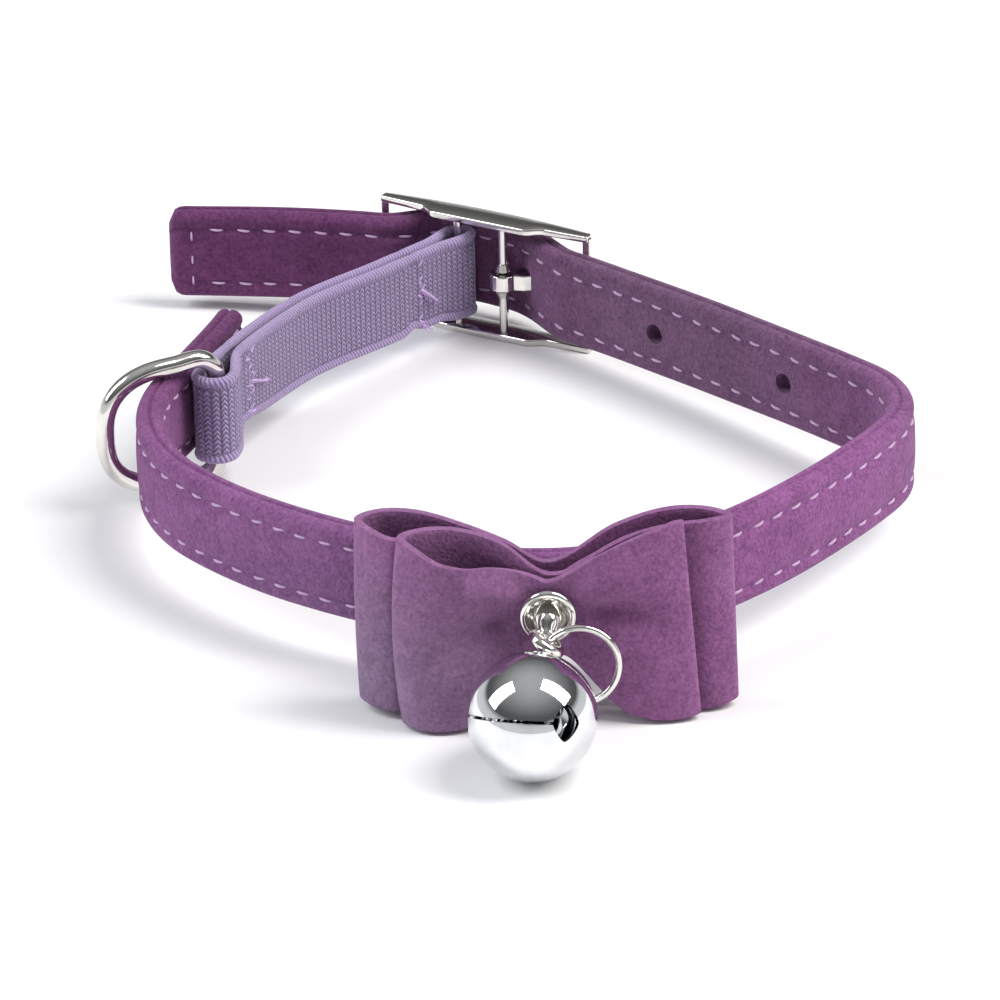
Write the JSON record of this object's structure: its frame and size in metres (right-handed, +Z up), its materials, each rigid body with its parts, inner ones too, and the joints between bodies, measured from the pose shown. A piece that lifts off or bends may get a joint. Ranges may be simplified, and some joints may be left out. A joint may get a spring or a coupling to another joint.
{
  "type": "pet bow tie collar",
  "caption": "Padded suede pet collar standing on its edge, fastened in an arched buckle, with a double bow, a jingle bell on a jump ring, a D-ring and an elastic safety loop.",
  "frame": {"origin": "middle of the footprint, on the floor that the collar stands on", "axes": "+Z up, across the strap's width; -Y towards the bow at the front, +Y towards the buckle; +X to the bow's right as seen from the front"},
  "size_m": [0.0846, 0.1162, 0.0209],
  "materials": {
    "suede": "matt purple suede, padded, with two rows of stitches",
    "bow_suede": "matt purple suede, soft nap",
    "webbing": "lilac knitted elastic with corded edges",
    "nickel": "polished nickel plate",
    "bell_chrome": "mirror chrome plate",
    "steel": "plain steel"
  },
  "bodies": {
    "collar": {"strap": "suede", "elastic": "webbing", "buckle_frame": "nickel", "buckle_prong": "nickel", "bow_back": "bow_suede", "bow_front": "bow_suede", "rivet_disc": "nickel", "rivet_post": "nickel", "rivet_cap": "nickel", "jump_ring": "nickel", "bell": "bell_chrome", "bell_pellet": "steel"},
    "d_ring": {"d_ring": "nickel"}
  },
  "joints": [
    {"name": "d_ring_swing", "type": "hinge", "parent": "collar", "child": "d_ring", "pos_m": [-0.0298, 0.01216, 0.00849], "axis": [0, 0, 1], "range_deg": [-88, 8]}
  ]
}
